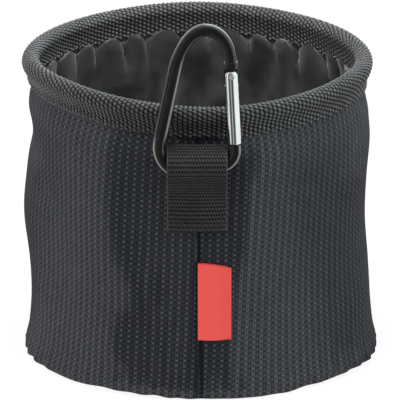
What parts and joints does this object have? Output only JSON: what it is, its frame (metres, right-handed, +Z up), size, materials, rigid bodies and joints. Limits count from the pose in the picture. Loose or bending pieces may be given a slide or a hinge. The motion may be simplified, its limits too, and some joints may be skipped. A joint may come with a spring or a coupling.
{
  "type": "peg bag",
  "caption": "Round cloth peg bag with a lining, a webbing-bound wire rim, a sewn webbing tab that holds a spring-gate carabiner for hanging, and a ribbon label.",
  "frame": {"origin": "on the floor, at the middle of the bag's base", "axes": "+Z up out of the mouth, front with the seam, tab and label towards -Y, gate side of the carabiner towards +X"},
  "size_m": [0.1788, 0.1915, 0.1982],
  "materials": {
    "wall_cloth": "dark woven polyester with light specks",
    "lining_cloth": "smooth dark lining",
    "binding_webbing": "coarse black webbing",
    "tab_webbing": "black webbing",
    "label_ribbon": "red woven ribbon, bare",
    "hoop_steel": "spring steel wire",
    "black_metal": "black anodised",
    "gate_metal": "polished",
    "pin_steel": "plain steel",
    "spring_steel": "spring wire"
  },
  "bodies": {
    "bag": {"outer_wall": "wall_cloth", "base_panel": "wall_cloth", "lining_wall": "lining_cloth", "lining_base": "lining_cloth", "rim_hoop": "hoop_steel", "hoop_sleeve": "hoop_steel", "rim_binding": "binding_webbing", "hanging_tab": "tab_webbing"},
    "carabiner": {"carabiner_body": "black_metal", "gate_pin": "pin_steel"},
    "gate": {"gate_tube": "gate_metal", "gate_spring": "spring_steel"},
    "plunger": {"gate_plunger": "pin_steel"},
    "label": {"side_label": "label_ribbon"}
  },
  "joints": [
    {"name": "carabiner_swing", "type": "hinge", "parent": "bag", "child": "carabiner", "pos_m": [0, -0.09436, 0.12646], "axis": [1, 0, 0], "range_deg": [0, 180]},
    {"name": "gate_open", "type": "hinge", "parent": "carabiner", "child": "gate", "pos_m": [0.01689, -0.09083, 0.17182], "axis": [0, 0.997, -0.0776], "range_deg": [0, 22], "stiffness_Nm_per_rad": 0.1, "springref_deg": -28.65},
    {"name": "plunger_slide", "type": "slide", "parent": "gate", "child": "plunger", "axis": [0.0515, -0.0775, -0.9957], "range_m": [0, 0.0012], "deforming": ["gate_spring"]},
    {"name": "label_flap", "type": "hinge", "parent": "bag", "child": "label", "pos_m": [0, -0.08731, 0.053], "axis": [0, 0, 1], "range_deg": [-24, 0], "stiffness_Nm_per_rad": 0.0005}
  ],
  "couplings": [
    {"joint": "plunger_slide", "follows": "gate_open", "m_per_rad": 0.003}
  ]
}
